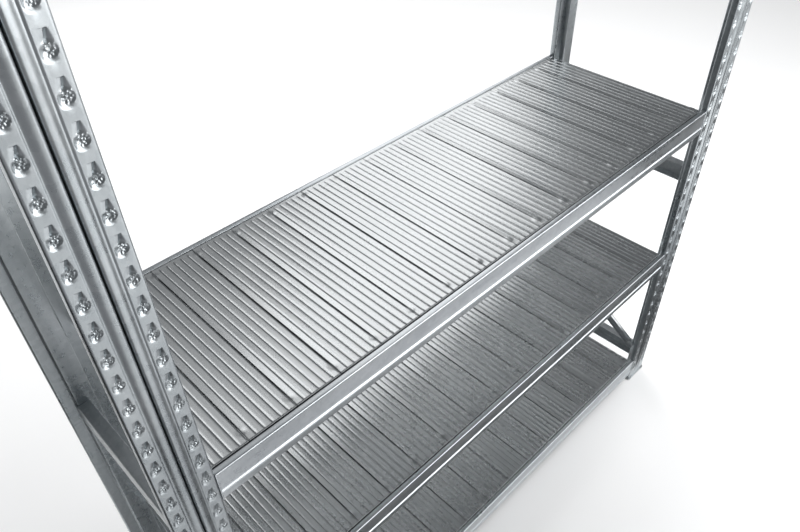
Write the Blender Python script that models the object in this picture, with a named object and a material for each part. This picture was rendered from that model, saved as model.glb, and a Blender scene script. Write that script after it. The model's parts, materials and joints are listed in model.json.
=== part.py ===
"""One bay of galvanised boltless long-span shelving.

Axes: +X along the shelf, +Y to the back, +Z up. Origin: centre of the footprint at floor level.
Four roll-formed uprights carry three pairs of beams, and narrow ribbed steel panels lie loose
between the beams of each level. Each side is a frame of two uprights, horizontal struts and
diagonal braces. All lengths are in metres.
"""
import math

import bmesh
import bpy
from mathutils import Vector

# ---------------------------------------------------------------- driving dimensions
HEIGHT = 2.200            # top of the uprights
CLEAR_LENGTH = 1.696      # between the inner faces of the left and right uprights
HALF_DEPTH = 0.282        # centre to the flat pocket strips of the uprights
LEVELS = {"bottom": 0.110, "middle": 0.660, "top": 1.210}   # top of each deck
GAP = 0.0003              # clearance between touching pieces

UP_WIDTH = 0.096          # upright, along X
UP_SIDE = 0.020           # depth of the upright's side walls
UP_SPINE = 0.038          # depth to the back of its spine
UP_SHEET = 0.002
CREST = 0.003             # how far the rolled beads stand proud of the strips
POCKET_PITCH = 0.050
POCKET_X = 0.0330         # pocket rows, either side of the centre
POCKET_H = 0.031
# half outline of a pocket, from its top edge down: half width, drop
POCKET_SIDE = [(0.0058, 0.0), (0.0086, 0.0150), (0.0092, 0.0215), (0.0074, 0.0275), (0.0030, POCKET_H)]
POCKET_FIRST = 0.087      # height of the lowest pocket's top edge

FOOT = (0.110, 0.066, 0.004)
ANCHOR_R = 0.0065

BEAM_H = 0.080
BEAM_FLANGE = 0.0140      # width of the beam's top flange
BEAM_SHEET = 0.002
LEDGE_DROP = 0.0265       # deck surface down to the top of the ledge
LEDGE_REACH = 0.038
END_PLATE = (0.0025, 0.0160)   # thickness along X, depth along Y
HOOK_Z = (0.015, 0.065)   # hook tabs below the beam's top edge
SLOT_H = 0.022
SLOT_W = 0.0055
HOOK_T = 0.0035

PANEL_PITCH = 0.107
PANEL_FIRST_JOINT = -0.7663   # X of the joint after the narrow first panel
PANEL_COUNT = 16
PANEL_GAP = 0.0008
PANEL_SHEET = 0.0012
PANEL_END_GAP = 0.0028    # between a panel's end and the beam's inner wall
PANEL_DROP = 0.0262
RIBS = 6                  # rib pitches to a panel
RIB_W = 0.0070
RIB_H = 0.0016

STRUT_H = 0.056
STRUT_FLANGE = 0.030
BRACE_H = 0.030
BRACE_FLANGE = 0.012
BRACE_SHEET = 0.0015
STRUT_LEVELS = {"low": 0.115, "middle": 0.955, "top": 2.130}
BRACES = {"lower": (0.160, 0.510)}   # height at the front, at the rear

X_UP = CLEAR_LENGTH / 2 + UP_WIDTH / 2      # centre line of the uprights


# ---------------------------------------------------------------- helpers
def material(name, colour, rough, metallic):
    m = bpy.data.materials.new(name)
    m.use_nodes = True
    b = m.node_tree.nodes["Principled BSDF"]
    b.inputs["Base Color"].default_value = (*colour, 1.0)
    b.inputs["Roughness"].default_value = rough
    b.inputs["Metallic"].default_value = metallic
    m.diffuse_color = (*colour, 1.0)
    return m


def link(name, bm, mat, location=(0, 0, 0)):
    bmesh.ops.recalc_face_normals(bm, faces=bm.faces)
    me = bpy.data.meshes.new(name)
    bm.to_mesh(me)
    bm.free()
    ob = bpy.data.objects.new(name, me)
    me.materials.append(mat)
    ob.location = location
    bpy.context.scene.collection.objects.link(ob)
    return ob


def prism(bm, outline, a, b, place):
    """Extrude a closed 2-D outline from a to b; place(u, v, w) gives the 3-D point."""
    lo = [bm.verts.new(place(u, v, a)) for u, v in outline]
    hi = [bm.verts.new(place(u, v, b)) for u, v in outline]
    n = len(outline)
    for i in range(n):
        j = (i + 1) % n
        bm.faces.new((lo[i], lo[j], hi[j], hi[i]))
    bm.faces.new(list(reversed(lo)))
    bm.faces.new(hi)


def offset_side(path, d):
    """Mitred parallel of an open polyline, at distance d to its left."""
    out = []
    n = len(path)
    for i, p in enumerate(path):
        p = Vector(p)
        if i == 0 or i == n - 1:
            q = Vector(path[1]) - p if i == 0 else p - Vector(path[n - 2])
            q.normalize()
            out.append((p.x - q.y * d, p.y + q.x * d))
            continue
        a = (p - Vector(path[i - 1])).normalized()
        b = (Vector(path[i + 1]) - p).normalized()
        na, nb = Vector((-a.y, a.x)), Vector((-b.y, b.x))
        m = (na + nb).normalized()
        k = d / max(0.2, m.dot(na))
        out.append((p.x + m.x * k, p.y + m.y * k))
    return out


def sheet(path, t):
    """Closed outline of a sheet of thickness t bent along an open centre line."""
    return offset_side(path, t / 2) + list(reversed(offset_side(path, -t / 2)))


def temp(name, bm):
    bmesh.ops.recalc_face_normals(bm, faces=bm.faces)
    me = bpy.data.meshes.new(name)
    bm.to_mesh(me)
    bm.free()
    ob = bpy.data.objects.new(name, me)
    bpy.context.scene.collection.objects.link(ob)
    ob.hide_render = True
    ob.display_type = 'WIRE'
    return ob


def boolean(ob, cutter, operation):
    m = ob.modifiers.new(operation.lower(), 'BOOLEAN')
    m.operation = operation
    m.solver = 'EXACT'
    m.object = cutter


# ---------------------------------------------------------------- scene
for o in list(bpy.data.objects):
    bpy.data.objects.remove(o, do_unlink=True)

STEEL_UP = material("galvanised_upright", (0.56, 0.59, 0.61), 0.36, 0.9)
STEEL_BEAM = material("galvanised_beam", (0.50, 0.54, 0.57), 0.34, 0.9)
STEEL_PANEL = material("galvanised_panel", (0.60, 0.62, 0.63), 0.30, 0.95)
STEEL_BRACE = material("galvanised_brace", (0.58, 0.60, 0.61), 0.38, 0.9)
STEEL_FOOT = material("galvanised_foot", (0.52, 0.54, 0.55), 0.42, 0.9)


# ---------------------------------------------------------------- uprights
def upright_path():
    """Centre line of the rolled section, from the slit round the spine and back to it.

    u is along X from the centre, v is depth behind the pocket strips."""
    h = UP_SHEET / 2
    w = UP_WIDTH / 2 - h
    side = UP_SIDE - h
    spine = UP_SPINE - h
    half = [(0.0023, 0.008), (0.0023, 0.0000), (0.0048, -CREST + h), (0.0118, -CREST + h),
            (0.0165, 0.0030), (0.0190, 0.0030), (0.0216, h), (w, h), (w, side),
            (0.021, side), (0.021, spine)]
    left = [(-u, v) for u, v in half]
    return half + list(reversed(left))


def pocket_heights():
    zs = []
    z = POCKET_FIRST
    while z < HEIGHT - 0.02:
        zs.append(z)
        z += POCKET_PITCH
    return zs


def make_upright(name, sx, sy):
    """sx: -1 left, +1 right. sy: -1 front, +1 rear; the strips face outwards."""
    cx = sx * X_UP

    def place(u, v, w):
        return (cx + u, sy * (HALF_DEPTH - v), w)

    z0 = FOOT[2] + GAP
    bm = bmesh.new()
    prism(bm, sheet(upright_path(), UP_SHEET), z0, HEIGHT, place)
    ob = link(name, bm, STEEL_UP)

    cut = bmesh.new()
    for z in pocket_heights():
        for s in (-1, 1):
            c = s * POCKET_X
            shape = [(c + u, z - d) for u, d in POCKET_SIDE]
            shape += [(c - u, z - d) for u, d in reversed(POCKET_SIDE)]
            prism(cut, shape, -0.001, 0.003, lambda a, b, w: place(a, w, b))
    for level in LEVELS.values():
        for drop in HOOK_Z:
            zc = level - drop
            y = HOOK_Y
            u1, u2 = sorted((-sx * (UP_WIDTH / 2 + 0.001), -sx * (UP_WIDTH / 2 - 0.003)))
            shape = [(y - SLOT_W / 2, zc - SLOT_H / 2), (y + SLOT_W / 2, zc - SLOT_H / 2),
                     (y + SLOT_W / 2, zc + SLOT_H / 2), (y - SLOT_W / 2, zc + SLOT_H / 2)]
            prism(cut, shape, u1, u2, lambda a, b, w: place(w, a, b))
    boolean(ob, temp(name + "_cut", cut), 'DIFFERENCE')
    return ob


HOOK_Y = 0.011            # hook slots: depth behind the pocket strips
SIDES = {"left": -1, "right": 1}
ENDS = {"front": -1, "rear": 1}
for end, sy in ENDS.items():
    for side, sx in SIDES.items():
        make_upright("upright_%s_%s" % (end, side), sx, sy)


# ---------------------------------------------------------------- foot plates
def make_foot(name, sx, sy):
    cx = sx * X_UP
    y_out = HALF_DEPTH + CREST + 0.001
    y_in = y_out - FOOT[1]
    bm = bmesh.new()
    outline = [(-FOOT[0] / 2, y_in), (FOOT[0] / 2, y_in), (FOOT[0] / 2, y_out), (-FOOT[0] / 2, y_out)]
    prism(bm, outline, 0.0, FOOT[2], lambda u, v, w: (cx + u, sy * v, w))
    ob = link(name, bm, STEEL_FOOT)
    cut = bmesh.new()
    yc = y_in + 0.013
    hole = [(ANCHOR_R * math.cos(2 * math.pi * i / 12), yc + ANCHOR_R * math.sin(2 * math.pi * i / 12))
            for i in range(12)]
    prism(cut, hole, -0.002, FOOT[2] + 0.002, lambda u, v, w: (cx + u, sy * v, w))
    boolean(ob, temp(name + "_cut", cut), 'DIFFERENCE')


for end, sy in ENDS.items():
    for side, sx in SIDES.items():
        make_foot("foot_%s_%s" % (end, side), sx, sy)


# ---------------------------------------------------------------- beams
def beam_path():
    """Centre line of the beam's section: v is depth behind its outer face, z from its top."""
    h = BEAM_SHEET / 2
    return [(LEDGE_REACH, -LEDGE_DROP - h), (BEAM_FLANGE - h, -LEDGE_DROP - h), (BEAM_FLANGE - h, -h),
            (h, -h), (h, -0.0045), (h + 0.0016, -0.0065), (h + 0.0016, -0.0465),
            (h, -0.0500), (h, -0.0560), (h + 0.0016, -0.0600), (h + 0.0016, -BEAM_H + h),
            (0.015, -BEAM_H + h)]


def make_beam(name, level, sy):
    z0 = level
    reach = CLEAR_LENGTH / 2 - GAP

    def place(v, z, x):
        return (x, sy * (HALF_DEPTH - v), z0 + z)

    bm = bmesh.new()
    prism(bm, sheet(beam_path(), BEAM_SHEET), -reach + 0.001, reach - 0.001, place)
    ob = link(name, bm, STEEL_BEAM)
    for sx in (-1, 1):
        add = bmesh.new()
        x_out = sx * reach
        x_in = sx * (reach - END_PLATE[0])
        lo, hi = min(x_in, x_out), max(x_in, x_out)
        plate = [(0.0, 0.0), (END_PLATE[1], 0.0), (END_PLATE[1], -BEAM_H), (0.0, -BEAM_H)]
        prism(add, plate, lo, hi, place)
        plate_ob = temp("%s_plate_%d" % (name, sx), add)
        boolean(ob, plate_ob, 'UNION')
        hooks = bmesh.new()
        for drop in HOOK_Z:
            base = -drop - SLOT_H / 2 + GAP
            face = reach - END_PLATE[0] / 2
            # L-shaped tab: through the slot, then down behind the wall
            tab = [(face, base), (CLEAR_LENGTH / 2 + UP_SHEET + GAP, base),
                   (CLEAR_LENGTH / 2 + UP_SHEET + GAP, base - 0.0045),
                   (CLEAR_LENGTH / 2 + UP_SHEET + 0.0028, base - 0.0045),
                   (CLEAR_LENGTH / 2 + UP_SHEET + 0.0028, base + 0.0110), (face, base + 0.0110)]
            prism(hooks, [(sx * a, b) for a, b in tab], HOOK_Y - HOOK_T / 2, HOOK_Y + HOOK_T / 2,
                  lambda a, b, w: (a, sy * (HALF_DEPTH - w), z0 + b))
        boolean(ob, temp("%s_hooks_%d" % (name, sx), hooks), 'UNION')
    return ob


for level_name, z in LEVELS.items():
    for end, sy in ENDS.items():
        make_beam("beam_%s_%s" % (level_name, end), z, sy)


# ---------------------------------------------------------------- deck panels
def joint_x(k):
    """X of joint k, 0 at the left end of the deck and PANEL_COUNT at its right end."""
    if k == 0:
        return -CLEAR_LENGTH / 2 + 0.0005
    return PANEL_FIRST_JOINT + PANEL_PITCH * (k - 1)


def panel_outline(k0, k1):
    """Section of a panel from joint k0 to joint k1: ribbed sheet with turned-down edges."""
    x0 = joint_x(k0) + PANEL_GAP / 2
    x1 = joint_x(k1) - PANEL_GAP / 2
    t = PANEL_SHEET
    pts = [(x0, -PANEL_DROP), (x0, 0.0)]
    step = PANEL_PITCH / RIBS
    for k in range(k0, k1):
        right = joint_x(k + 1)
        ribs = [right - step * i for i in range(RIBS - 1, 0, -1)]
        for c in ribs:
            if c - RIB_W / 2 > x0 + 0.003 and c + RIB_W / 2 < x1 - 0.003:
                pts += [(c - RIB_W / 2, 0.0), (c, RIB_H), (c + RIB_W / 2, 0.0)]
    pts += [(x1, 0.0), (x1, -PANEL_DROP), (x1 - t, -PANEL_DROP), (x1 - t, -t), (x0 + t, -t), (x0 + t, -PANEL_DROP)]
    return pts


PANEL_HALF = HALF_DEPTH - BEAM_FLANGE - PANEL_END_GAP


def make_panel(name, k0, k1, level):
    bm = bmesh.new()
    prism(bm, panel_outline(k0, k1), -PANEL_HALF, PANEL_HALF, lambda u, v, w: (u, w, v))
    link(name, bm, STEEL_PANEL, location=(0, 0, level))


for k in range(PANEL_COUNT):
    make_panel("deck_panel_top_%02d" % (k + 1), k, k + 1, LEVELS["top"])
for level_name in ("middle", "bottom"):
    for k in range(0, PANEL_COUNT, 2):
        make_panel("deck_pair_%s_%02d" % (level_name, k // 2 + 1), k, k + 2, LEVELS[level_name])


# ---------------------------------------------------------------- side-frame bracing
SPINE_BACK = HALF_DEPTH - UP_SPINE          # |y| of the spines' inner faces
LIP_BACK = HALF_DEPTH - UP_SIDE             # |y| of the uprights' back lips
SPINE_HALF = 0.021 + UP_SHEET / 2


def make_strut(name, sx, z):
    """Channel open towards the bay; its web laps the outer flats of both spines."""
    web_in = SPINE_HALF + GAP
    web_out = web_in + BRACE_SHEET
    y_f = SPINE_BACK - 0.001
    y_t = LIP_BACK - 0.002
    bm = bmesh.new()
    h = STRUT_H / 2
    t = BRACE_SHEET
    channel = [(web_out, -h), (web_out, h), (web_out - STRUT_FLANGE, h), (web_out - STRUT_FLANGE, h - t),
               (web_in, h - t), (web_in, -h + t), (web_out - STRUT_FLANGE, -h + t), (web_out - STRUT_FLANGE, -h)]
    prism(bm, channel, -y_f, y_f, lambda u, v, w: (sx * (X_UP + u), w, z + v))
    ob = link(name, bm, STEEL_BRACE)
    tabs = bmesh.new()
    tab = [(web_in, -h + 0.004), (web_out, -h + 0.004), (web_out, h - 0.004), (web_in, h - 0.004)]
    prism(tabs, tab, -y_t, -y_f + 0.004, lambda u, v, w: (sx * (X_UP + u), w, z + v))
    prism(tabs, tab, y_f - 0.004, y_t, lambda u, v, w: (sx * (X_UP + u), w, z + v))
    boolean(ob, temp(name + "_tabs", tabs), 'UNION')
    return ob


def make_brace(name, sx, z_front, z_rear):
    """Small channel whose web laps the bay-side flats of both spines."""
    y_mid = (SPINE_BACK + LIP_BACK) / 2
    a = Vector((0.0, -y_mid, z_front))
    b = Vector((0.0, y_mid, z_rear))
    run = (b - a).normalized()
    up = Vector((0.0, -run.z, run.y))
    if up.z < 0:
        up = -up
    web_in = SPINE_HALF + GAP
    web_out = web_in + BRACE_SHEET
    h = BRACE_H / 2
    t = BRACE_SHEET

    def place(u, v, w):
        p = a + run * w + up * v
        return (sx * (X_UP - u), p.y, p.z)

    length = (b - a).length
    slope = abs(run.z / run.y)
    trim = 0.011 / run.y + h * slope
    bm = bmesh.new()
    channel = [(web_in, -h), (web_in, h), (web_out + BRACE_FLANGE, h), (web_out + BRACE_FLANGE, h - t),
               (web_out, h - t), (web_out, -h + t), (web_out + BRACE_FLANGE, -h + t), (web_out + BRACE_FLANGE, -h)]
    prism(bm, channel, trim, length - trim, place)
    ob = link(name, bm, STEEL_BRACE)
    tabs = bmesh.new()
    e = 0.0035
    tab = [(web_in, -h + 0.008), (web_out, -h + 0.008), (web_out, h - 0.008), (web_in, h - 0.008)]
    prism(tabs, tab, -e, trim + 0.004, place)
    prism(tabs, tab, length - trim - 0.004, length + e, place)
    boolean(ob, temp(name + "_tabs", tabs), 'UNION')
    return ob


for side, sx in SIDES.items():
    for part, z in STRUT_LEVELS.items():
        make_strut("strut_%s_%s" % (part, side), sx, z)
    for part, (zf, zr) in BRACES.items():
        make_brace("brace_%s_%s" % (part, side), sx, zf, zr)
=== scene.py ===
import json
import math
import random

import bmesh
import bpy
import numpy as np
from mathutils import Matrix, Vector

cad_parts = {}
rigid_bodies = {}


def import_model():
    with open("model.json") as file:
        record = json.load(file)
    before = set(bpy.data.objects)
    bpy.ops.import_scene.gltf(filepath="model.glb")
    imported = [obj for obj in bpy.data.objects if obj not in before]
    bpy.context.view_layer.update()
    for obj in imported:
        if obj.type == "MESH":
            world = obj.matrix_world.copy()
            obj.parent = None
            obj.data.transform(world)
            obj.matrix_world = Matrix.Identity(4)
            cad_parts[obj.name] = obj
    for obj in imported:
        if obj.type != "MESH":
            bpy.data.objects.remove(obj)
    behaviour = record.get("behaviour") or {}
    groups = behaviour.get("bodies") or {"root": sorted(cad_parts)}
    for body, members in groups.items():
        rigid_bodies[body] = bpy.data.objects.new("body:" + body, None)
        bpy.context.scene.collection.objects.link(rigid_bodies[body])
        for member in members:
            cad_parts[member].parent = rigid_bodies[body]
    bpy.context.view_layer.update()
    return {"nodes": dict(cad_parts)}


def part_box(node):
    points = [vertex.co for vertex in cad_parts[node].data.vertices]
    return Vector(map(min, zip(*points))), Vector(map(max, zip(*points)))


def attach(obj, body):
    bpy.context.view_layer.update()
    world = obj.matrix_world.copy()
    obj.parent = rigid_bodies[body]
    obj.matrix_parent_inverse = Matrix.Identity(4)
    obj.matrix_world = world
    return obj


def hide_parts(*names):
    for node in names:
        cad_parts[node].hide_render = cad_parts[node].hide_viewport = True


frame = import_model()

scene = bpy.context.scene
NODES = frame["nodes"]

# ------------------------------------------------------------------ frame facts
deck_z = {}
for lv in ("top", "middle", "bottom"):
    deck_z[lv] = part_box("beam_%s_front" % lv)[1][2]           # top of the beams = deck level
up_lo, up_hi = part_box("upright_front_left")
CREST = 0.003
UP_W = up_hi[0] - up_lo[0]
HALF_DEPTH = -(up_lo[1] + CREST)                               # plane of the pocket strips
Z0, Z1 = up_lo[2], up_hi[2]
X_LEFT = (up_lo[0] + up_hi[0]) / 2
X_RIGHT = -X_LEFT
CLEAR = 2 * (abs(X_LEFT) - UP_W / 2)
SHEET = 0.002
POCKET_PITCH, POCKET_FIRST = 0.050, 0.087
PITCH = 0.107
JOINT1 = -0.7663
MM = 0.001


# ------------------------------------------------------------------ camera
H = 1.040
r = Vector((0.71246, -0.70135, -0.02270)).normalized()
f = Vector((0.51726, 0.54676, -0.65840)).normalized()
r = (r - f * r.dot(f)).normalized()
d = f.cross(r).normalized()
if d.z > 0:
    d = -d
pos = Vector((-1.0737, -0.9882, deck_z["top"] + H))
cam_data = bpy.data.cameras.new("photo_view")
cam = bpy.data.objects.new("photo_view", cam_data)
scene.collection.objects.link(cam)
cam_data.sensor_width = 36.0
cam_data.lens = 36.0 * 706.9 / 800.0
cam_data.clip_start = 0.05
cam_data.clip_end = 60.0
cam.matrix_world = Matrix(((r.x, -d.x, -f.x, pos.x), (r.y, -d.y, -f.y, pos.y), (r.z, -d.z, -f.z, pos.z), (0, 0, 0, 1)))
scene.camera = cam


# ------------------------------------------------------------------ galvanised steel
def galvanised(name, dark, light, rough, flow, spangle=0.5, grain=0.5, scale=1.0):
    """Zinc-coated sheet: crystal spangle, rolling streaks along flow, cloudy oxide and a fine grain."""
    m = bpy.data.materials.new(name)
    m.use_nodes = True
    nt = m.node_tree
    nt.nodes.clear()
    N = nt.nodes.new
    L = nt.links.new
    out = N("ShaderNodeOutputMaterial")
    b = N("ShaderNodeBsdfPrincipled")
    L(b.outputs["BSDF"], out.inputs["Surface"])
    b.inputs["Metallic"].default_value = 0.93
    tc = N("ShaderNodeTexCoord")

    def noise(vec, sc, detail, rgh=0.55, dist=0.0):
        n = N("ShaderNodeTexNoise")
        n.inputs["Scale"].default_value = sc
        n.inputs["Detail"].default_value = detail
        n.inputs["Roughness"].default_value = rgh
        n.inputs["Distortion"].default_value = dist
        L(vec, n.inputs["Vector"])
        return n.outputs["Fac"]

    def mapping(scale3):
        mp = N("ShaderNodeMapping")
        mp.inputs["Scale"].default_value = scale3
        L(tc.outputs["Object"], mp.inputs["Vector"])
        return mp.outputs["Vector"]

    def math_(op, a, c, clamp=False):
        n = N("ShaderNodeMath")
        n.operation = op
        n.use_clamp = clamp
        for i, v in enumerate((a, c)):
            if isinstance(v, (int, float)):
                n.inputs[i].default_value = v
            else:
                L(v, n.inputs[i])
        return n.outputs[0]

    obj = tc.outputs["Object"]
    stretch = [34.0, 34.0, 34.0]
    stretch[flow] = 1.1
    clouds = noise(obj, 3.1 * scale, 4.0, 0.6, 0.4)
    streaks = noise(mapping(tuple(stretch)), 1.0, 5.0, 0.62)
    fine = noise(obj, 420.0, 3.0, 0.7)
    vor = N("ShaderNodeTexVoronoi")
    vor.inputs["Scale"].default_value = 95.0
    vor.inputs["Randomness"].default_value = 1.0
    warp = N("ShaderNodeMixRGB")
    warp.blend_type = 'ADD'
    warp.inputs["Fac"].default_value = 0.012
    L(obj, warp.inputs["Color1"])
    wn = N("ShaderNodeTexNoise")
    wn.inputs["Scale"].default_value = 60.0
    L(obj, wn.inputs["Vector"])
    L(wn.outputs["Color"], warp.inputs["Color2"])
    L(warp.outputs["Color"], vor.inputs["Vector"])
    sep = N("ShaderNodeSeparateColor")
    L(vor.outputs["Color"], sep.inputs["Color"])
    cell = sep.outputs[0]

    mix = math_('MULTIPLY', clouds, 0.46)
    mix = math_('ADD', mix, math_('MULTIPLY', streaks, 0.34))
    mix = math_('ADD', mix, math_('MULTIPLY', cell, 0.14 * spangle * 2))
    mix = math_('ADD', mix, math_('MULTIPLY', fine, 0.16 * grain * 2))
    ramp = N("ShaderNodeValToRGB")
    ramp.color_ramp.elements[0].position = 0.30
    ramp.color_ramp.elements[0].color = (*dark, 1)
    ramp.color_ramp.elements[1].position = 0.74
    ramp.color_ramp.elements[1].color = (*light, 1)
    L(mix, ramp.inputs["Fac"])
    L(ramp.outputs["Color"], b.inputs["Base Color"])

    rg = math_('MULTIPLY', math_('SUBTRACT', streaks, 0.5), 0.20)
    rg = math_('ADD', rg, math_('MULTIPLY', math_('SUBTRACT', cell, 0.5), 0.10 * spangle))
    rg = math_('ADD', rg, math_('MULTIPLY', math_('SUBTRACT', fine, 0.5), 0.22 * grain))
    rg = math_('ADD', rg, math_('MULTIPLY', math_('SUBTRACT', clouds, 0.5), 0.14))
    L(math_('ADD', rg, rough, clamp=True), b.inputs["Roughness"])

    h = math_('MULTIPLY', fine, 0.85 * grain)
    h = math_('ADD', h, math_('MULTIPLY', streaks, 0.30))
    bump = N("ShaderNodeBump")
    bump.inputs["Strength"].default_value = 0.30
    bump.inputs["Distance"].default_value = 0.0006
    L(h, bump.inputs["Height"])
    L(bump.outputs["Normal"], b.inputs["Normal"])
    return m


M_UP = galvanised("galvanised_upright", (0.33, 0.365, 0.385), (0.60, 0.63, 0.645), 0.30, 2, 0.35, 0.35)
M_BEAM = galvanised("galvanised_beam", (0.45, 0.485, 0.51), (0.76, 0.79, 0.81), 0.30, 0, 0.30, 0.35)
M_PANEL = galvanised("galvanised_panel", (0.54, 0.558, 0.567), (0.71, 0.725, 0.73), 0.27, 1, 0.20, 0.22)
M_BRACE = galvanised("galvanised_brace", (0.483, 0.512, 0.529), (0.806, 0.829, 0.84), 0.34, 1, 0.4, 0.4)
M_FOOT = galvanised("galvanised_foot", (0.34, 0.36, 0.37), (0.60, 0.62, 0.63), 0.42, 0, 0.8, 0.5)


# ------------------------------------------------------------------ mesh helpers
def add_object(name, verts, faces, mat, node, body, angle=32.0):
    me = bpy.data.meshes.new(name)
    me.from_pydata([tuple(v) for v in verts], [], faces)
    me.validate()
    bm = bmesh.new()
    bm.from_mesh(me)
    bmesh.ops.recalc_face_normals(bm, faces=bm.faces)
    bm.to_mesh(me)
    bm.free()
    me.shade_smooth()
    me.set_sharp_from_angle(angle=math.radians(angle))
    me.materials.append(mat)
    ob = bpy.data.objects.new(name, me)
    scene.collection.objects.link(ob)
    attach(ob, body)
    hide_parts(node)
    return ob


def rounded(path, radii, seg=4):
    """Open polyline with its corners turned into arcs."""
    out = [Vector(path[0])]
    for i in range(1, len(path) - 1):
        p, a, b = Vector(path[i]), Vector(path[i - 1]), Vector(path[i + 1])
        rr = radii[i] if isinstance(radii, (list, tuple)) else radii
        da, db = (a - p), (b - p)
        la, lb = da.length, db.length
        da.normalize()
        db.normalize()
        ang = math.acos(max(-1, min(1, da.dot(db))))
        if ang > math.pi - 0.02 or rr <= 0:
            out.append(p)
            continue
        t = min(rr / math.tan(ang / 2), 0.48 * la, 0.48 * lb)
        rr = t * math.tan(ang / 2)
        bis = (da + db).normalized()
        c = p + bis * (rr / math.sin(ang / 2))
        s, e = p + da * t, p + db * t
        a0 = math.atan2(s.y - c.y, s.x - c.x)
        a1 = math.atan2(e.y - c.y, e.x - c.x)
        dd = (a1 - a0 + math.pi) % (2 * math.pi) - math.pi
        for k in range(seg + 1):
            q = a0 + dd * k / seg
            out.append(Vector((c.x + rr * math.cos(q), c.y + rr * math.sin(q))))
    out.append(Vector(path[-1]))
    clean = [out[0]]
    for p in out[1:]:
        if (p - clean[-1]).length > 2e-5:
            clean.append(p)
    return clean


def offset(path, dist):
    out = []
    n = len(path)
    for i, p in enumerate(path):
        a = path[max(0, i - 1)]
        b = path[min(n - 1, i + 1)]
        na = (p - a).normalized() if i > 0 else (b - p).normalized()
        nb = (b - p).normalized() if i < n - 1 else na
        va, vb = Vector((-na.y, na.x)), Vector((-nb.y, nb.x))
        m = va + vb
        m.normalize()
        out.append(p + m * (dist / max(0.3, m.dot(va))))
    return out


def sheet_loop(path, t):
    """Closed outline of a bent sheet, with its two cut edges slightly rounded."""
    a = offset(path, t / 2)
    b = offset(path, -t / 2)
    e0 = (path[0] - path[1]).normalized() * t * 0.18
    e1 = (path[-1] - path[-2]).normalized() * t * 0.18
    loop = list(a)
    loop.append((a[-1] * 0.75 + b[-1] * 0.25) + e1)
    loop.append((a[-1] * 0.25 + b[-1] * 0.75) + e1)
    loop += list(reversed(b))
    loop.append((b[0] * 0.75 + a[0] * 0.25) + e0)
    loop.append((b[0] * 0.25 + a[0] * 0.75) + e0)
    return loop


def sweep(loop, stations, place, close=True):
    """Quads along the stations, with flat caps. Returns verts and faces."""
    n = len(loop)
    verts, faces = [], []
    for s in stations:
        for p in loop:
            verts.append(place(p.x, p.y, s))
    for k in range(len(stations) - 1):
        for i in range(n):
            j = (i + 1) % n
            faces.append((k * n + i, k * n + j, (k + 1) * n + j, (k + 1) * n + i))
    if close:
        faces.append(tuple(range(n - 1, -1, -1)))
        k = (len(stations) - 1) * n
        faces.append(tuple(range(k, k + n)))
    return verts, faces


def merge(parts):
    V, F = [], []
    for v, fcs in parts:
        o = len(V)
        V += list(v)
        F += [tuple(i + o for i in q) for q in fcs]
    return V, F


# ------------------------------------------------------------------ uprights
STRIP_MID = 33.1                                              # middle of the flat strip, mm from the slit


NUBS = ((-3.2, 18.6, 1.3, 1.0), (1.8, 16.8, 1.5, 0.95), (-0.6, 22.6, 1.7, 1.05), (4.6, 19.6, 1.6, 0.95),
        (-1.6, 15.8, 1.0, 0.9), (1.6, 19.6, 1.5, 0.85), (3.6, 24.0, 1.4, 0.9), (-3.6, 25.0, 1.0, 0.9),
        (6.2, 22.2, 1.2, 0.85), (1.0, 26.4, 1.3, 0.9), (5.8, 16.6, 1.0, 0.8), (-1.2, 28.0, 1.1, 0.85),
        (3.0, 28.0, 1.2, 0.85), (5.4, 25.8, 1.1, 0.8))


def smooth(a, b, x):
    t = min(1.0, max(0.0, (x - a) / (b - a)))
    return t * t * (3 - 2 * t)


def pocket_depth(du, dz, nubs):
    """Depth of the pressed pocket, in mm, at du across and dz below its top edge (mm)."""
    cx, cz, R = 0.9, 22.2, 8.3
    x, y = du - cx, dz - cz
    rr = math.hypot(x, y)
    base = 0.0
    if 0.0 < dz < cz:
        # upper funnel: a gentle ramp on the left and a steep wall on the right meet in a crease
        uc = 2.2 - 0.30 * dz
        ur = min(8.8, 4.6 + 0.24 * dz)
        ul = max(-8.8, -4.6 - 0.26 * dz)
        deep = (4.1 + 0.20 * dz) * min(1.0, dz / 0.8)
        if ul < du <= uc:
            base = min(deep, 1.6) * ((du - ul) / (uc - ul)) ** 1.2
        elif uc < du < ur:
            base = deep * ((ur - du) / (ur - uc)) ** 1.25
    s = smooth(11.5, 18.5, dz)
    if rr < R:
        cup = 3.9 * (1 - (rr / R) ** (2.0 + 1.6 * max(0.0, y / R)))
        base = base * (1 - s) + max(base * 0.45, cup) * s
    elif dz > 11.5:
        base *= (1 - s)
    # the sheet is drawn in towards the cup from below and from the left
    if rr > 0.1:
        w = max(0.0, (-0.84 * x + 0.54 * y) / rr) * smooth(13.0, 19.0, dz)
        q = (rr / R) ** 2 if rr < R else 1 - smooth(0.0, 6.0, rr - R)
        base += 2.3 * w * q * min(1.0, (10.1 - abs(du)) / 3.2)
    # crumpled zinc in the middle of the cup
    if rr < R + 0.3:
        for bx, bz, am, sg in nubs:
            base -= 1.2 * am * math.exp(-((du - bx) ** 2 + (dz - bz) ** 2) / (2 * sg * sg))
    return max(base, -0.3)


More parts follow.
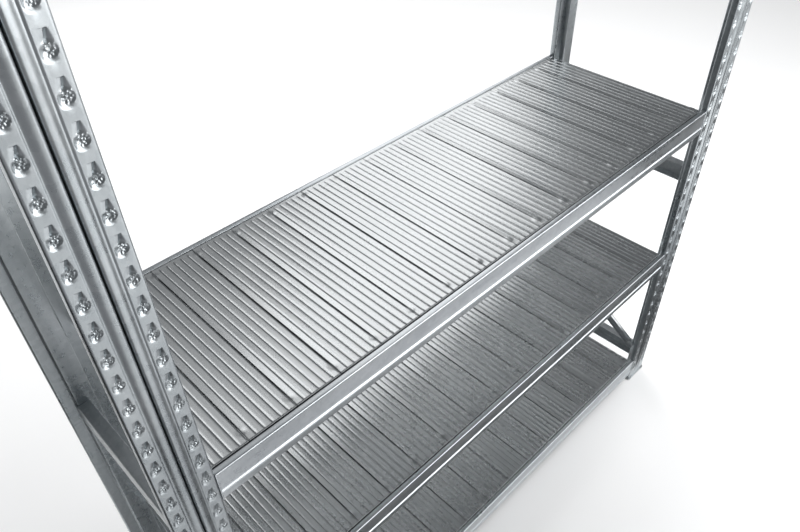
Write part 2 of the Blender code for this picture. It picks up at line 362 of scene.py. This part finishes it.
COLS = [-10.1, -9.5, -8.7, -7.8, -6.9, -5.9, -5.0, -4.1, -3.3, -2.5, -1.7, -0.9, -0.25, 0.35, 0.95, 1.7, 2.5, 3.3, 4.1,
        4.9, 5.7, 6.5, 7.3, 8.1, 8.9, 9.5, 10.1]
ROWS = [-1.2, -0.12, 0.25, 0.9, 2.4, 4.6, 7.0, 9.2, 11.0, 12.4, 13.6, 14.8, 15.7, 16.6, 17.5, 18.4, 19.3, 20.2, 21.1,
        22.0, 22.9, 23.8, 24.7, 25.6, 26.6, 27.6, 28.6, 29.4, 30.2, 31.0, 32.2, 33.6, 35.0, 36.4]
COLS_IN = [-10.1, -8.6, -6.9, -4.5, -2.3, 0.0, 2.3, 4.5, 6.9, 8.6, 10.1]
ROWS_IN = [-1.2, -0.12, 0.8, 4.0, 8.0, 12.0, 16.0, 20.0, 24.0, 28.0, 31.0, 36.4]


def upright_mesh():
    """One upright in its own axes: u across, v behind the strips, w up."""
    h = SHEET / 2
    w = UP_W / 2 - h
    side, spine = 0.020 - h, 0.038 - h
    # lip, crest, then a slow fall to a shallow valley beside the pocket strip
    half = [(0.0020, 0.0150)]
    for k in range(8):                                         # rounded shoulder beside the slit
        a = math.radians(180 + 90 * k / 7)
        half.append((0.0055 + 0.0033 * math.cos(a), h - CREST + 0.0033 + 0.0033 * math.sin(a)))
    u, v = 5.5, h - CREST
    slope = ((5.5, 0), (8.0, 6), (10.0, 14), (12.0, 24), (14.0, 32), (16.0, 30), (18.0, 17), (19.4, 0))
    for (ua, da), (ub, db) in zip(slope, slope[1:]):
        for q in (0.5, 1.0):
            un = ua + (ub - ua) * q
            v += math.tan(math.radians(da + (db - da) * (q - 0.25))) * (un - u) * MM
            u = un
            half.append((u * MM, v))
    rise = v - h
    half += [(0.0199, h + rise * 0.96), (0.0206, h + rise * 0.74), (0.0217, h + rise * 0.20), (0.0222, h + rise * 0.04), (0.0226, h),
             (w, h), (w, side), (0.021, side), (0.021, spine)]
    rad = [0] * (len(half) - 4) + [0.0030, 0.0022, 0.0022, 0.0024]
    left = [(-u, v) for u, v in half]
    path = half + list(reversed(left))
    radii = rad + list(reversed(rad))
    line = rounded([Vector(p) for p in path], radii, seg=5)
    # split the long strip spans where the pocket grid begins and ends
    loop_a = offset(line, h)
    loop_b = offset(line, -h)
    # which side is outside: the crest must be at v = -CREST
    outer, inner = (loop_a, loop_b) if min(p.y for p in loop_a) < min(p.y for p in loop_b) else (loop_b, loop_a)
    t = SHEET
    ends = []
    loop = list(outer)
    e1 = (line[-1] - line[-2]).normalized() * t * 0.2
    e0 = (line[0] - line[1]).normalized() * t * 0.2
    loop += [(outer[-1] * 0.75 + inner[-1] * 0.25) + e1, (outer[-1] * 0.25 + inner[-1] * 0.75) + e1]
    loop += list(reversed(inner))
    loop += [(inner[0] * 0.75 + outer[0] * 0.25) + e0, (inner[0] * 0.25 + outer[0] * 0.75) + e0]
    n = len(loop)

    tops = []
    z = POCKET_FIRST
    while z < Z1 - 0.02:
        tops.append(z)
        z += POCKET_PITCH

    verts, faces = [], []
    bottom, top = {}, {}

    def vert(x, y, zz):
        verts.append((x, y, zz))
        return len(verts) - 1

    lo = [vert(p.x, p.y, Z0) for p in loop]
    hi = [vert(p.x, p.y, Z1) for p in loop]
    cap_lo, cap_hi = [], []
    for i in range(n):
        j = (i + 1) % n
        a, b = loop[i], loop[j]
        cap_lo.append(lo[i])
        cap_hi.append(hi[i])
        # a strip span: long, flat, and in front
        flat = abs(a.y - b.y) < 1e-5 and abs(a.x - b.x) > 0.018 and max(abs(a.y), abs(a.y - SHEET)) < 0.0025
        if not flat:
            faces.append((lo[i], lo[j], hi[j], hi[i]))
            continue
        sgn = 1 if a.x + b.x > 0 else -1
        is_outer = abs(a.y) < 5e-4
        cols = COLS if is_outer else COLS_IN
        rows = ROWS if is_outer else ROWS_IN
        us = [sgn * STRIP_MID * MM + c * MM for c in cols]
        if a.x > b.x:
            us = us[::-1]
        zs, kinds = [], []
        for zt in reversed(tops):
            for rz in rows:
                zs.append(zt - rz * MM)
                kinds.append(rz)
        zs = zs[::-1]
        kinds = kinds[::-1]
        grid = []
        roll = random.Random(7 + 2 * (sgn > 0))
        jitter = {}
        for zz, rz in zip(zs, kinds):
            line_ = []
            key = round((zz + rz * MM) / POCKET_PITCH, 2)
            if key not in jitter:
                jitter[key] = [(x + roll.uniform(-0.9, 0.9), y + roll.uniform(-0.9, 0.9), m * roll.uniform(0.7, 1.25), g)
                               for x, y, m, g in NUBS] if is_outer else NUBS[:6]
            for u in us:
                du = (u - sgn * STRIP_MID * MM) / MM
                edge = abs(du) > 10.0 or rz in (rows[0], rows[-1])
                dep = 0.0 if edge else pocket_depth(du, rz, jitter[key])
                line_.append(vert(u, a.y + dep * MM, zz))
            grid.append(line_)
        nr, nc = len(grid), len(us)
        # foot and head rows of the grid lie on the cut ends
        g_lo = [vert(u, a.y, Z0) for u in us]
        g_hi = [vert(u, a.y, Z1) for u in us]
        grid = [g_lo] + grid + [g_hi]
        nr += 2
        for k in range(nr - 1):
            for c in range(nc - 1):
                faces.append((grid[k][c], grid[k][c + 1], grid[k + 1][c + 1], grid[k + 1][c]))
        first = [row[0] for row in grid]
        last = [row[-1] for row in grid]
        faces.append(tuple([lo[i]] + first + [hi[i]]))
        faces.append(tuple([last[0], lo[j], hi[j]] + last[:0:-1]))
        cap_lo += g_lo
        cap_hi += g_hi
    faces.append(tuple(reversed(cap_lo)))
    faces.append(tuple(cap_hi))
    return np.array(verts), faces


UV, UF = upright_mesh()
for end, sy in (("front", -1), ("rear", 1)):
    for side, sx, xc in (("left", -1, X_LEFT), ("right", 1, X_RIGHT)):
        V = np.empty_like(UV)
        V[:, 0] = xc + UV[:, 0]
        V[:, 1] = sy * (HALF_DEPTH - UV[:, 1])
        V[:, 2] = UV[:, 2]
        nm = "upright_%s_%s" % (end, side)
        add_object(nm + "_rolled", V, UF, M_UP, nm, "frame", 34)


# ------------------------------------------------------------------ beams
def beam_line():
    h = SHEET / 2
    fl = 0.0140
    dp = 0.0027
    path = [(0.038, -0.0265 - h), (fl - h, -0.0265 - h), (fl - h, -h), (h, -h), (h, -0.0040), (h + 0.0013, -0.0069),
            (h + 0.0013, -0.0088), (h + dp, -0.0529), (h, -0.0554), (h, -0.0622), (h + dp, -0.0664),
            (h + dp, -0.080 + h), (0.015, -0.080 + h)]
    rad = [0, 0.0024, 0.0016, 0.0016, 0.0008, 0.0006, 0.0010, 0.0030, 0.0050, 0.0050, 0.0030, 0.0026, 0]
    return rounded([Vector(p) for p in path], rad, seg=4)


BEAM_LOOP = sheet_loop(beam_line(), SHEET)


def bevel_box(lo, hi, bev, place):
    bm = bmesh.new()
    bmesh.ops.create_cube(bm, size=1.0)
    for v in bm.verts:
        v.co = Vector([lo[i] + (v.co[i] + 0.5) * (hi[i] - lo[i]) for i in range(3)])
    bmesh.ops.bevel(bm, geom=list(bm.edges), offset=bev, segments=2, affect='EDGES', profile=0.5)
    vs = [place(*v.co) for v in bm.verts]
    bm.verts.index_update()
    fs = [tuple(v.index for v in fc.verts) for fc in bm.faces]
    bm.free()
    return vs, fs


def make_beam(level, end, sy):
    z0 = deck_z[level]
    reach = CLEAR / 2 - 0.0004

    def place(v, z, x):
        return (x, sy * (HALF_DEPTH - v), z0 + z)

    parts = [sweep(BEAM_LOOP, [-reach + 0.002, -0.5, 0.0, 0.5, reach - 0.002], place)]
    for s in (-1, 1):
        xa, xb = sorted((s * reach, s * (reach - 0.0024)))
        parts.append(bevel_box((xa, 0.0004, -0.0795), (xb, 0.0158, -0.0003), 0.0005,
                               lambda x, v, z: place(v, z, x)))
        for drop in (0.015, 0.065):
            base = -drop - 0.011 + 0.0004
            xa, xb = sorted((s * (reach - 0.001), s * (CLEAR / 2 + SHEET + 0.0026)))
            parts.append(bevel_box((xa, 0.0094, base), (xb, 0.0126, base + 0.0106), 0.0005,
                                   lambda x, v, z: place(v, z, x)))
            xa, xb = sorted((s * (CLEAR / 2 + SHEET + 0.0005), s * (CLEAR / 2 + SHEET + 0.0026)))
            parts.append(bevel_box((xa, 0.0094, base - 0.0042), (xb, 0.0126, base + 0.004), 0.0005,
                                   lambda x, v, z: place(v, z, x)))
    V, F = merge(parts)
    nm = "beam_%s_%s" % (level, end)
    add_object(nm + "_rolled", V, F, M_BEAM, nm, "frame", 34)


for lv in deck_z:
    for end, sy in (("front", -1), ("rear", 1)):
        make_beam(lv, end, sy)


# ------------------------------------------------------------------ deck panels
LEDGE = 0.0262
P_Y = abs(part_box("deck_panel_top_08")[0][1])
RIB = 2.6      # half width, mm
RIB_H = 1.25
rng = random.Random(41)


def joint_x(k):
    return -CLEAR / 2 + 0.0005 if k == 0 else JOINT1 + PITCH * (k - 1)


def end_rows():
    near = [0.0, 0.1, 0.35, 0.8, 1.5, 2.4, 4.0, 6.0, 8.5, 11.0, 13.5, 16.0, 18.5, 21.0, 23.5, 26.0, 28.5, 31.0, 33.5, 37.0, 42.0,
            60.0, 110.0, 180.0]
    half = P_Y * 1000
    front = [-half + q for q in near]
    back = [half - q for q in reversed(near)]
    return front + [0.0] + back


YROWS = end_rows()


def panel_part(k, z0):
    """Panel k (from 0), as a thin ribbed tray with turned-down edges all round."""
    xl, xr = joint_x(k) * 1000, joint_x(k + 1) * 1000
    half = P_Y * 1000
    width = xr - xl
    step = PITCH * 1000 / 6
    ribs = [xr - step * i for i in range(5, 0, -1) if xr - step * i > xl + 5.0]
    tilt = rng.uniform(-0.010, 0.010)
    crown = rng.uniform(-0.16, 0.30)
    bow = rng.uniform(-0.12, 0.16)
    twist = rng.uniform(-0.0010, 0.0010)
    xs = [0.0, 0.1, 0.4, 1.2, 2.6, 5.2, 8.0, 10.8, 13.4, 15.5]
    xs = [xl + q for q in xs if xl + q < (ribs[0] - RIB - 0.5 if ribs else xr)]
    for i, c in enumerate(ribs):
        xs += [c + q * RIB for q in (-1.0, -0.74, -0.48, -0.24, 0.0, 0.24, 0.48, 0.74, 1.0)]
        if i < len(ribs) - 1:
            xs += [c + 6.5, c + 11.3]
    tail = [xr - q for q in (12.0, 9.8, 7.4, 5.2, 3.7, 2.6, 1.7, 0.9, 0.4, 0.12, 0.0)]
    xs += [q for q in tail if not ribs or q > ribs[-1] + RIB + 0.5]
    nx, ny = len(xs), len(YROWS)
    wave = [rng.uniform(-0.10, 0.10) for _ in range(6)]

    def height(x, y):
        s, e = x - xl, xr - x
        db, df = half - y, y + half
        fade = smooth(7.0, 20.0, db) * smooth(1.5, 7.0, df)
        z = 0.0
        for c in ribs:
            q = abs(x - c)
            if q < RIB:
                z += RIB_H * (0.5 + 0.5 * math.cos(math.pi * q / RIB)) * fade
        # the left edge laps over its neighbour: a raised shoulder falling away to the right
        z += 1.25 * max(0.0, 1 - s / 15.5) * smooth(6, 34, df) * smooth(8, 40, db)
        if e < 3.6:
            z += 1.15 * (0.5 + 0.5 * math.cos(math.pi * e / 3.6)) * fade
        # pressed bosses at the joints, near both ends
        for cx in (0.0, width):
            for q in (math.hypot(s - cx, df - 26.0), math.hypot(s - cx, db - 24.0)):
                if q < 12.5:
                    z += 1.15 * (0.5 + 0.5 * math.cos(math.pi * q / 12.5)) - 0.55 * math.exp(-(q / 4.0) ** 2)
        t = (x - (xl + xr) / 2)
        z += tilt * t + crown * (1 - (2 * t / width) ** 2) + bow * (1 - (y / half) ** 2) + twist * t * y / half
        # slight press waves along the length
        z += 0.05 * sum(a * math.sin((i + 1) * 0.9 * y / 60 + i) for i, a in enumerate(wave))
        return z - 0.12

    def gap(y):
        e = min(half - y, y + half)
        return 0.34 + 0.74 * smooth(27.0, 48.0, e)

    verts, faces = [], []
    grid = []
    for y in YROWS:
        g = gap(y)
        row = []
        ey = min(half - y, y + half)
        for i, x in enumerate(xs):
            s, e = x - xl, xr - x
            xx = x
            if s < 2.6:
                xx = xl + g + s * (2.6 - g) / 2.6
            elif e < 2.6:
                xx = xr - g - e * (2.6 - g) / 2.6
            z = height(x, y)
            for q, rd in ((s, 1.3), (e, 1.5), (ey, 2.4)):
                if q < rd:
                    z -= rd - math.sqrt(max(0.0, rd ** 2 - (rd - q) ** 2))
            row.append(len(verts))
            verts.append((xx * MM, y * MM, z0 + z * MM))
        grid.append(row)
    for a in range(ny - 1):
        for b in range(nx - 1):
            faces.append((grid[a][b], grid[a][b + 1], grid[a + 1][b + 1], grid[a + 1][b]))
    ring = [grid[0][b] for b in range(nx)] + [grid[a][nx - 1] for a in range(1, ny)]
    ring += [grid[ny - 1][b] for b in range(nx - 2, -1, -1)] + [grid[a][0] for a in range(ny - 2, 0, -1)]
    zb = z0 - LEDGE
    t = 1.2 * MM
    x_in0, x_in1 = (xl + 0.75) * MM + t, (xr - 0.75) * MM - t
    y_in = half * MM - t
    low, inner, roof = [], [], []
    for v in ring:
        p = verts[v]
        low.append(len(verts))
        verts.append((p[0], p[1], zb))
    for v in ring:
        p = verts[v]
        q = (min(max(p[0], x_in0), x_in1), min(max(p[1], -y_in), y_in))
        inner.append(len(verts))
        verts.append((q[0], q[1], zb))
    for v in ring:
        p = verts[v]
        q = (min(max(p[0], x_in0), x_in1), min(max(p[1], -y_in), y_in))
        roof.append(len(verts))
        verts.append((q[0], q[1], z0 - 2.4 * MM))
    n = len(ring)
    for i in range(n):
        j = (i + 1) % n
        faces.append((ring[j], ring[i], low[i], low[j]))
        faces.append((low[j], low[i], inner[i], inner[j]))
        faces.append((inner[j], inner[i], roof[i], roof[j]))
    faces.append(tuple(roof))
    return verts, faces


def panel_object(node, ks, z0, body):
    V, F = merge([panel_part(k, z0) for k in ks])
    me = bpy.data.meshes.new(node + "_ribbed")
    me.from_pydata(V, [], F)
    bm = bmesh.new()
    bm.from_mesh(me)
    bmesh.ops.remove_doubles(bm, verts=bm.verts, dist=1e-6)
    bmesh.ops.recalc_face_normals(bm, faces=bm.faces)
    bm.to_mesh(me)
    bm.free()
    me.shade_smooth()
    me.set_sharp_from_angle(angle=math.radians(38))
    me.materials.append(M_PANEL)
    ob = bpy.data.objects.new(node + "_ribbed", me)
    scene.collection.objects.link(ob)
    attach(ob, body)
    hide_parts(node)
    return ob


for k in range(16):
    panel_object("deck_panel_top_%02d" % (k + 1), [k], deck_z["top"], "deck_top")
for lv in ("middle", "bottom"):
    for k in range(0, 16, 2):
        panel_object("deck_pair_%s_%02d" % (lv, k // 2 + 1), [k, k + 1], deck_z[lv], "deck_" + lv)


# ------------------------------------------------------------------ side-frame bracing
SPINE_BACK = HALF_DEPTH - 0.038
LIP_BACK = HALF_DEPTH - 0.020


def channel_line(height, flange, t):
    h = height / 2
    path = [(-flange, h - t / 2), (-t / 2, h - t / 2), (-t / 2, -h + t / 2), (-flange, -h + t / 2)]
    return rounded([Vector(p) for p in path], [0, 0.0024, 0.0024, 0], seg=5)


def make_strut(part, side, sx):
    nm = "strut_%s_%s" % (part, side)
    lo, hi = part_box(nm)
    zc = (lo[2] + hi[2]) / 2
    xo = hi[0] if sx > 0 else lo[0]
    t = 0.0015
    loop = sheet_loop(channel_line(0.056, 0.030, t), t)
    y1 = SPINE_BACK - 0.001

    def place(u, v, y):
        return (xo + sx * u, y, zc + v)

    parts = [sweep(loop, [-y1, -y1 / 2, 0, y1 / 2, y1], place)]
    for s in (-1, 1):
        ya, yb = sorted((s * (y1 - 0.003), s * (LIP_BACK - 0.0022)))
        parts.append(bevel_box((-t + 0.00005, ya, -0.0235), (-0.00005, yb, 0.0235), 0.0004,
                               lambda u, y, v: place(u, v, y)))
        # clinched button on the tab
        parts.append(button(0.0055, 0.0011, lambda a, b, c: place(c, b + 0.011, s * (y1 + 0.008) + a)))
        parts.append(button(0.0055, 0.0011, lambda a, b, c: place(c, b - 0.011, s * (y1 + 0.008) + a)))
    V, F = merge(parts)
    add_object(nm + "_rolled", V, F, M_BRACE, nm, "frame", 36)


def button(rad, high, place, seg=18):
    """Low domed rivet head on the plane c = 0, standing out towards +c."""
    prof = [(rad, -0.0004), (rad, high * 0.25), (rad * 0.86, high * 0.72), (rad * 0.55, high * 0.96), (0.0, high)]
    verts, faces = [], []
    rings = []
    for rr, c in prof[:-1]:
        ring = []
        for i in range(seg):
            a = 2 * math.pi * i / seg
            ring.append(len(verts))
            verts.append(place(rr * math.cos(a), rr * math.sin(a), c))
        rings.append(ring)
    tip = len(verts)
    verts.append(place(0, 0, high))
    for a, b in zip(rings, rings[1:]):
        for i in range(seg):
            j = (i + 1) % seg
            faces.append((a[i], a[j], b[j], b[i]))
    for i in range(seg):
        faces.append((rings[-1][i], rings[-1][(i + 1) % seg], tip))
    faces.append(tuple(reversed(rings[0])))
    return verts, faces


def make_brace(side, sx):
    nm = "brace_lower_" + side
    y_mid = (SPINE_BACK + LIP_BACK) / 2
    a = Vector((0, -y_mid, 0.160))
    b = Vector((0, y_mid, 0.510))
    run = (b - a).normalized()
    up = Vector((0, -run.z, run.y))
    length = (b - a).length
    t = 0.0015
    web_in = 0.022 + 0.0003
    slope = abs(run.z / run.y)
    trim = 0.011 / run.y + 0.015 * slope
    loop = sheet_loop(channel_line(0.030, 0.0135, t), t)
    xc = X_RIGHT if sx > 0 else X_LEFT

    def place(u, v, w):
        p = a + run * w + up * v
        return (xc - sx * (web_in + t - (u + t) + 0.0), p.y, p.z)

    parts = [sweep(loop, [trim, length / 2, length - trim], place)]
    for w0, w1, wc in ((-0.0035, trim + 0.004, 0.002), (length - trim - 0.004, length + 0.0035, length - 0.002)):
        parts.append(bevel_box((-t + 0.00005, -0.0070, w0), (-0.00005, 0.0070, w1), 0.0004, place))
        parts.append(button(0.0048, 0.0011, lambda p, q, c: place(-t - c, q, wc + p)))
    V, F = merge(parts)
    add_object(nm + "_rolled", V, F, M_BRACE, nm, "frame", 36)


for side, sx in (("left", -1), ("right", 1)):
    for part in ("low", "middle", "top"):
        make_strut(part, side, sx)
    make_brace(side, sx)


# ------------------------------------------------------------------ feet
def make_foot(end, side, sx, sy):
    nm = "foot_%s_%s" % (end, side)
    lo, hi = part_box(nm)
    cx, cy = (lo[0] + hi[0]) / 2, (lo[1] + hi[1]) / 2
    wx, wy, hz = (hi[0] - lo[0]) / 2, (hi[1] - lo[1]) / 2, hi[2]
    hole_y = -sy * (wy - 0.013)
    rad, seg = 0.007, 7
    out = []
    for qx, qy, a0 in ((1, 1, 0), (-1, 1, 90), (-1, -1, 180), (1, -1, 270)):
        for i in range(seg + 1):
            a = math.radians(a0 + 90 * i / seg)
            out.append((qx * (wx - rad) + rad * math.cos(a), qy * (wy - rad) + rad * math.sin(a)))
    n = len(out)
    hole = [(0.0065 * math.cos(2 * math.pi * i / n), hole_y + 0.0065 * math.sin(2 * math.pi * i / n)) for i in range(n)]
    e = 0.0005
    verts, faces = [], []

    def ring(pts, z, grow=0.0, c=(0, 0)):
        ids = []
        for x, y in pts:
            v = Vector((x - c[0], y - c[1]))
            if grow:
                v = v * (1 - grow / v.length)
            ids.append(len(verts))
            verts.append((cx + c[0] + v.x, cy + c[1] + v.y, z))
        return ids

    rings = [ring(out, 0.0, e), ring(out, e), ring(out, hz - e), ring(out, hz, e)]
    hc = (0, hole_y)
    hr = [ring(hole, 0.0, -e, hc), ring(hole, e, 0, hc), ring(hole, hz - e, 0, hc), ring(hole, hz, -e, hc)]
    for A, B in list(zip(rings, rings[1:])) + list(zip(hr[::-1], hr[::-1][1:])):
        for i in range(n):
            j = (i + 1) % n
            faces.append((A[i], A[j], B[j], B[i]))
    for A, B in ((rings[0], hr[0]), (rings[-1], hr[-1])):
        for i in range(n):
            j = (i + 1) % n
            faces.append((A[i], A[j], B[j], B[i]))
    add_object(nm + "_plate", verts, faces, M_FOOT, nm, "frame", 36)


for end, sy in (("front", -1), ("rear", 1)):
    for side, sx in (("left", -1), ("right", 1)):
        make_foot(end, side, sx, sy)


# ------------------------------------------------------------------ floor and light
def floor():
    bm = bmesh.new()
    bmesh.ops.create_grid(bm, x_segments=1, y_segments=1, size=16.0)
    me = bpy.data.meshes.new("studio_floor")
    bm.to_mesh(me)
    bm.free()
    m = bpy.data.materials.new("studio_floor")
    m.use_nodes = True
    p = m.node_tree.nodes["Principled BSDF"]
    p.inputs["Base Color"].default_value = (0.88, 0.88, 0.88, 1)
    p.inputs["Roughness"].default_value = 0.9
    p.inputs["Specular IOR Level"].default_value = 0.1
    me.materials.append(m)
    ob = bpy.data.objects.new("studio_floor", me)
    ob.location.z = -0.0005
    scene.collection.objects.link(ob)
    return ob


FLOOR = floor()
floor_only = bpy.data.collections.new("floor_only")
floor_only.objects.link(FLOOR)


deck_only = bpy.data.collections.new("deck_only")
not_deck = bpy.data.collections.new("not_deck")
for ob in list(scene.collection.all_objects):
    if ob.type == 'MESH':
        (deck_only if ob.name.startswith("deck_") else not_deck).objects.link(ob)


def area(name, at, look, size, radiance, colour=(1, 1, 1), size_y=None, only=None, spread=180):
    ld = bpy.data.lights.new(name, 'AREA')
    ld.shape = 'RECTANGLE'
    ld.size = size
    ld.size_y = size_y or size
    ld.energy = radiance * math.pi * ld.size * ld.size_y
    ld.color = colour
    ld.spread = math.radians(spread)
    o = bpy.data.objects.new(name, ld)
    o.location = at
    o.rotation_euler = (Vector(look) - Vector(at)).to_track_quat('-Z', 'Y').to_euler()
    scene.collection.objects.link(o)
    if only:
        o.light_linking.receiver_collection = only
    return o


area("softbox_key", (1.49, 1.66, 3.2), (-0.20, -0.08, 1.21), 1.5, 1.5, size_y=2.3)
area("softbox_fill", (0.55, 2.6, 3.6), (-0.5, 0.0, 1.21), 1.6, 0.21, size_y=1.8)
area("softbox_low", (2.75, 2.75, 1.85), (0.0, 0.0, 1.2), 1.6, 1.9, size_y=0.8)
area("softbox_left", (-0.25, 1.15, 3.25), (-0.75, -0.22, 1.21), 0.9, 0.55, size_y=0.8)
area("softbox_mid", (3.0, 1.85, 3.2), (0.6, 0.0, 1.21), 0.9, 0.34, size_y=1.6)
area("softbox_front", (1.55, -3.1, 2.05), (-0.3, -0.3, 1.1), 4.2, 3.3, size_y=2.9, only=not_deck)
area("softbox_front_deck", (1.55, -3.1, 2.05), (-0.3, -0.3, 1.1), 4.2, 0.85, size_y=2.9, only=deck_only)
area("floor_wash_back", (3.2, 2.8, 4.8), (3.2, 2.8, 0), 8.0, 1.5, only=floor_only)
area("floor_wash_left", (-0.6, 3.9, 3.4), (-0.6, 3.9, 0), 4.0, 2.0, only=floor_only)
area("floor_wash_right", (2.2, -1.6, 3.0), (2.2, -1.6, 0), 2.6, 1.6, only=floor_only)

# painted shade: grey and black cards glow faintly on the floor, hidden from the camera, so that the folds and pockets
# mirror something darker
for name, x0, x1, y0, y1, level in (("shade_card_left_grey", -6.0, -1.45, -4.5, -1.25, 0.34), ("shade_card_left_black", -6.0, -1.45, -1.23, 1.6, 0.02),
                                    ("shade_card_front_grey", -0.75, 2.10, -1.42, -0.97, 0.55),
                                    ("shade_card_front_black", -0.55, 3.75, -0.95, -0.33, 0.05),
                                    ("shade_card_right_black", 2.12, 3.75, -3.2, -0.97, 0.04)):
    m = bpy.data.materials.new(name)
    m.use_nodes = True
    m.node_tree.nodes.clear()
    # the card's glow is a painted shade level seen only in reflections, not a lamp
    shade_card_glow = m.node_tree.nodes.new("ShaderNodeEmission")
    shade_card_glow.inputs["Color"].default_value = (level, level, level * 1.04, 1)
    end_ = m.node_tree.nodes.new("ShaderNodeOutputMaterial")
    m.node_tree.links.new(shade_card_glow.outputs["Emission"], end_.inputs["Surface"])
    me = bpy.data.meshes.new(name)
    me.from_pydata([(x0, y0, 0.004), (x1, y0, 0.004), (x1, y1, 0.004), (x0, y1, 0.004)], [], [(0, 1, 2, 3)])
    me.materials.append(m)
    card = bpy.data.objects.new(name, me)
    scene.collection.objects.link(card)
    # hidden from camera, diffuse and shadow rays: the card shows only as painted shade in the metal's reflections
    card.visible_camera = False
    card.visible_diffuse = False
    card.visible_shadow = False

world = bpy.data.worlds.new("studio")
scene.world = world
world.use_nodes = True
bg = world.node_tree.nodes["Background"]
bg.inputs["Color"].default_value = (0.92, 0.96, 1.0, 1)
bg.inputs["Strength"].default_value = 0.16

scene.view_settings.view_transform = 'Standard'
scene.view_settings.look = 'None'
